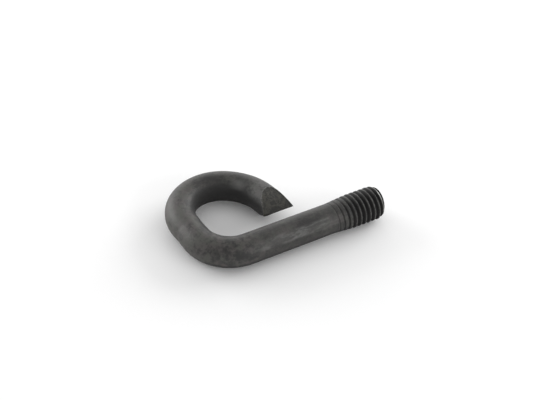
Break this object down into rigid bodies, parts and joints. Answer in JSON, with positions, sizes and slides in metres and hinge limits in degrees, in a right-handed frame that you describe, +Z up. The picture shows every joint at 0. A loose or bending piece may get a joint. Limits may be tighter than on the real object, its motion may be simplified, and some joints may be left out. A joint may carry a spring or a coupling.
{
  "type": "screw hook",
  "caption": "Dark steel screw hook bent from round bar: a threaded shank, a corner bend and an open eye with a pinched tip, for hanging or linking things from a nut or a tapped hole.",
  "frame": {"origin": "on the shank's axis, where the full thread begins", "axes": "+X along the shank and out of the threaded end, +Y towards the side of the eye, +Z up and square to the plane of the bends"},
  "size_m": [0.0469, 0.0313, 0.008],
  "materials": {
    "blackened_steel": "satin, blackened"
  },
  "bodies": {
    "root": {"screw_hook": "blackened_steel"}
  },
  "joints": []
}
